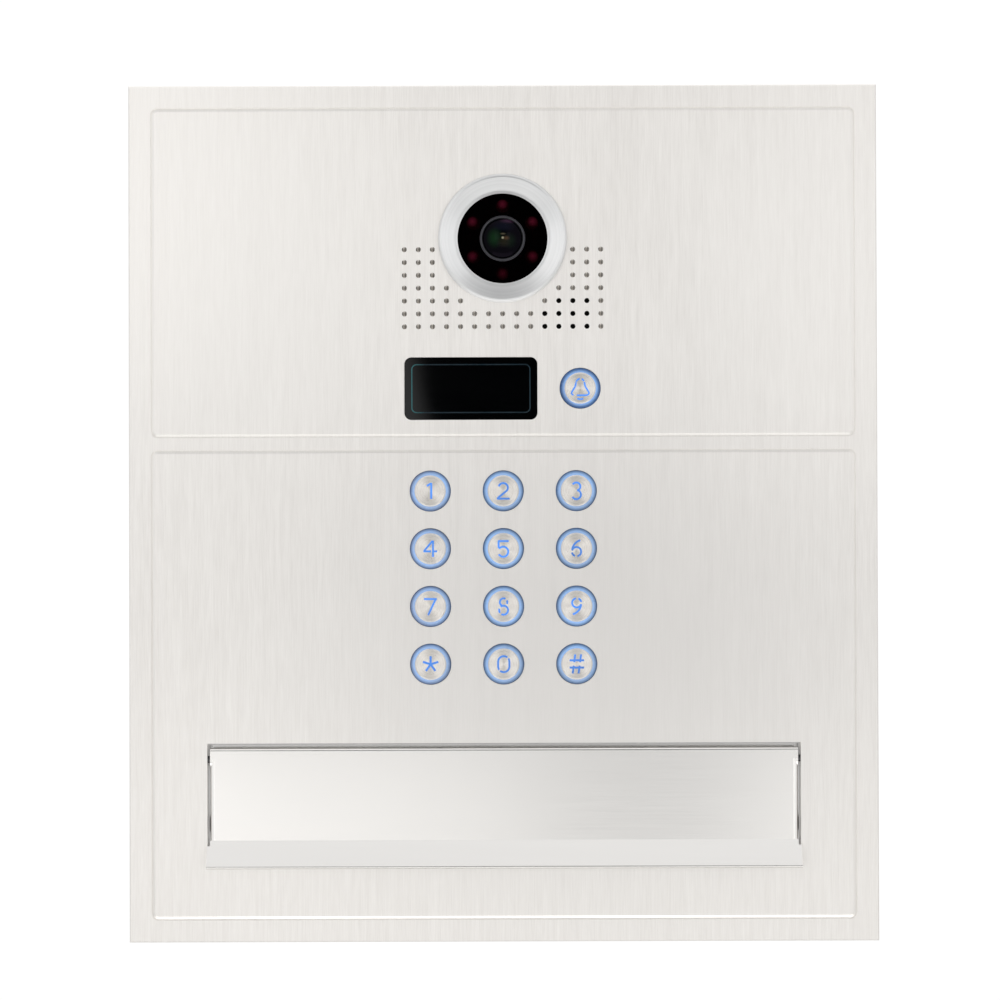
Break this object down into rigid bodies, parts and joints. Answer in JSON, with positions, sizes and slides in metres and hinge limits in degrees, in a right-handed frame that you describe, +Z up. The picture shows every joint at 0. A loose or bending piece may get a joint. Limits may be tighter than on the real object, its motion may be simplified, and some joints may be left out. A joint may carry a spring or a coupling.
{
  "type": "door intercom panel",
  "caption": "Stainless wall panel with fisheye door camera, speaker holes, display window, lit call button, lit keypad and a top-hinged letter flap over a chute.",
  "frame": {"origin": "centre of the four wall studs, on the back plane of the faceplate", "axes": "+Z up the panel, +X to the right seen from the front, the face looks along -Y and the studs point along +Y"},
  "size_m": [0.32, 0.067, 0.366],
  "materials": {
    "brushed_steel_vertical": "vertically brushed stainless steel",
    "brushed_steel_horizontal": "fine horizontally ground stainless steel",
    "spun_steel": "concentrically spun stainless steel",
    "chute_steel": "mill-finish stainless sheet",
    "rod_steel": "drawn stainless rod",
    "spring_steel": "blued spring steel",
    "stainless_fastener": "plain stainless fasteners",
    "speaker_steel": "zinc-plated pressed steel, dull",
    "satin_aluminium": "satin anodised",
    "dark_aluminium": "grey anodised",
    "brass_standoff": "turned brass, dull",
    "tinted_window": "black tinted polycarbonate, polished",
    "lens_glass": "coated optical glass",
    "black_glass": "black backed cover glass, polished",
    "infrared_epoxy": "dark red epoxy lamp bodies",
    "circuit_board": "green solder mask",
    "terminal_green": "moulded polyamide",
    "black_plastic": "moulded, fine texture",
    "housing_plastic": "moulded, fine texture",
    "gland_plastic": "moulded polyamide",
    "black_rubber": "soft rubber",
    "black_foam": "closed-cell foam",
    "silicone_mat": "translucent silicone",
    "black_mesh": "fine acoustic mesh",
    "paper_cone": "coated paper cone",
    "lit_key_plastic": "translucent polycarbonate, lit blue from behind",
    "teal_light": "thin light guide, lit teal"
  },
  "bodies": {
    "panel": {"faceplate": "brushed_steel_vertical", "perimeter_gasket": "black_foam", "welded_studs": "stainless_fastener", "stud_nuts": "stainless_fastener", "camera_bezel": "satin_aluminium", "camera_cover": "tinted_window", "lens_ring": "dark_aluminium", "lens_barrel": "black_plastic", "lens_glass": "lens_glass", "infrared_leds": "infrared_epoxy", "camera_board": "circuit_board", "camera_housing": "black_plastic", "camera_retaining_nut": "satin_aluminium", "acoustic_mesh": "black_mesh", "speaker_frame": "speaker_steel", "speaker_cone": "paper_cone", "microphone": "black_rubber", "display_glass": "black_glass", "display_outline": "teal_light", "display_module": "black_plastic", "keypad_mat": "silicone_mat", "keypad_board": "circuit_board", "board_standoffs": "brass_standoff", "main_board": "circuit_board", "terminal_block": "terminal_green", "electronics_housing": "housing_plastic", "rear_cover": "housing_plastic", "cover_screws": "stainless_fastener", "cable_gland": "gland_plastic", "letter_chute": "chute_steel", "hinge_rod": "rod_steel", "hinge_clips": "spring_steel", "flap_bumpers": "black_rubber"},
    "flap": {"letter_flap": "brushed_steel_horizontal"},
    "key_1": {"key_1_cap": "spun_steel", "key_1_top": "lit_key_plastic"},
    "key_2": {"key_2_cap": "spun_steel", "key_2_top": "lit_key_plastic"},
    "key_3": {"key_3_cap": "spun_steel", "key_3_top": "lit_key_plastic"},
    "key_4": {"key_4_cap": "spun_steel", "key_4_top": "lit_key_plastic"},
    "key_5": {"key_5_cap": "spun_steel", "key_5_top": "lit_key_plastic"},
    "key_6": {"key_6_cap": "spun_steel", "key_6_top": "lit_key_plastic"},
    "key_7": {"key_7_cap": "spun_steel", "key_7_top": "lit_key_plastic"},
    "key_8": {"key_8_cap": "spun_steel", "key_8_top": "lit_key_plastic"},
    "key_9": {"key_9_cap": "spun_steel", "key_9_top": "lit_key_plastic"},
    "key_star": {"key_star_cap": "spun_steel", "key_star_top": "lit_key_plastic"},
    "key_0": {"key_0_cap": "spun_steel", "key_0_top": "lit_key_plastic"},
    "key_hash": {"key_hash_cap": "spun_steel", "key_hash_top": "lit_key_plastic"},
    "call_button": {"call_button_cap": "spun_steel", "call_button_top": "lit_key_plastic"}
  },
  "joints": [
    {"name": "flap_hinge", "type": "hinge", "parent": "panel", "child": "flap", "pos_m": [0, 0.0003, -0.1052], "axis": [-1, 0, 0], "range_deg": [0, 85]},
    {"name": "key_1_press", "type": "slide", "parent": "panel", "child": "key_1", "axis": [0, 1, 0], "range_m": [0, 0.001], "stiffness_N_per_m": 600, "springref_m": -0.001},
    {"name": "key_2_press", "type": "slide", "parent": "panel", "child": "key_2", "axis": [0, 1, 0], "range_m": [0, 0.001], "stiffness_N_per_m": 600, "springref_m": -0.001},
    {"name": "key_3_press", "type": "slide", "parent": "panel", "child": "key_3", "axis": [0, 1, 0], "range_m": [0, 0.001], "stiffness_N_per_m": 600, "springref_m": -0.001},
    {"name": "key_4_press", "type": "slide", "parent": "panel", "child": "key_4", "axis": [0, 1, 0], "range_m": [0, 0.001], "stiffness_N_per_m": 600, "springref_m": -0.001},
    {"name": "key_5_press", "type": "slide", "parent": "panel", "child": "key_5", "axis": [0, 1, 0], "range_m": [0, 0.001], "stiffness_N_per_m": 600, "springref_m": -0.001},
    {"name": "key_6_press", "type": "slide", "parent": "panel", "child": "key_6", "axis": [0, 1, 0], "range_m": [0, 0.001], "stiffness_N_per_m": 600, "springref_m": -0.001},
    {"name": "key_7_press", "type": "slide", "parent": "panel", "child": "key_7", "axis": [0, 1, 0], "range_m": [0, 0.001], "stiffness_N_per_m": 600, "springref_m": -0.001},
    {"name": "key_8_press", "type": "slide", "parent": "panel", "child": "key_8", "axis": [0, 1, 0], "range_m": [0, 0.001], "stiffness_N_per_m": 600, "springref_m": -0.001},
    {"name": "key_9_press", "type": "slide", "parent": "panel", "child": "key_9", "axis": [0, 1, 0], "range_m": [0, 0.001], "stiffness_N_per_m": 600, "springref_m": -0.001},
    {"name": "key_star_press", "type": "slide", "parent": "panel", "child": "key_star", "axis": [0, 1, 0], "range_m": [0, 0.001], "stiffness_N_per_m": 600, "springref_m": -0.001},
    {"name": "key_0_press", "type": "slide", "parent": "panel", "child": "key_0", "axis": [0, 1, 0], "range_m": [0, 0.001], "stiffness_N_per_m": 600, "springref_m": -0.001},
    {"name": "key_hash_press", "type": "slide", "parent": "panel", "child": "key_hash", "axis": [0, 1, 0], "range_m": [0, 0.001], "stiffness_N_per_m": 600, "springref_m": -0.001},
    {"name": "call_button_press", "type": "slide", "parent": "panel", "child": "call_button", "axis": [0, 1, 0], "range_m": [0, 0.001], "stiffness_N_per_m": 600, "springref_m": -0.001}
  ]
}
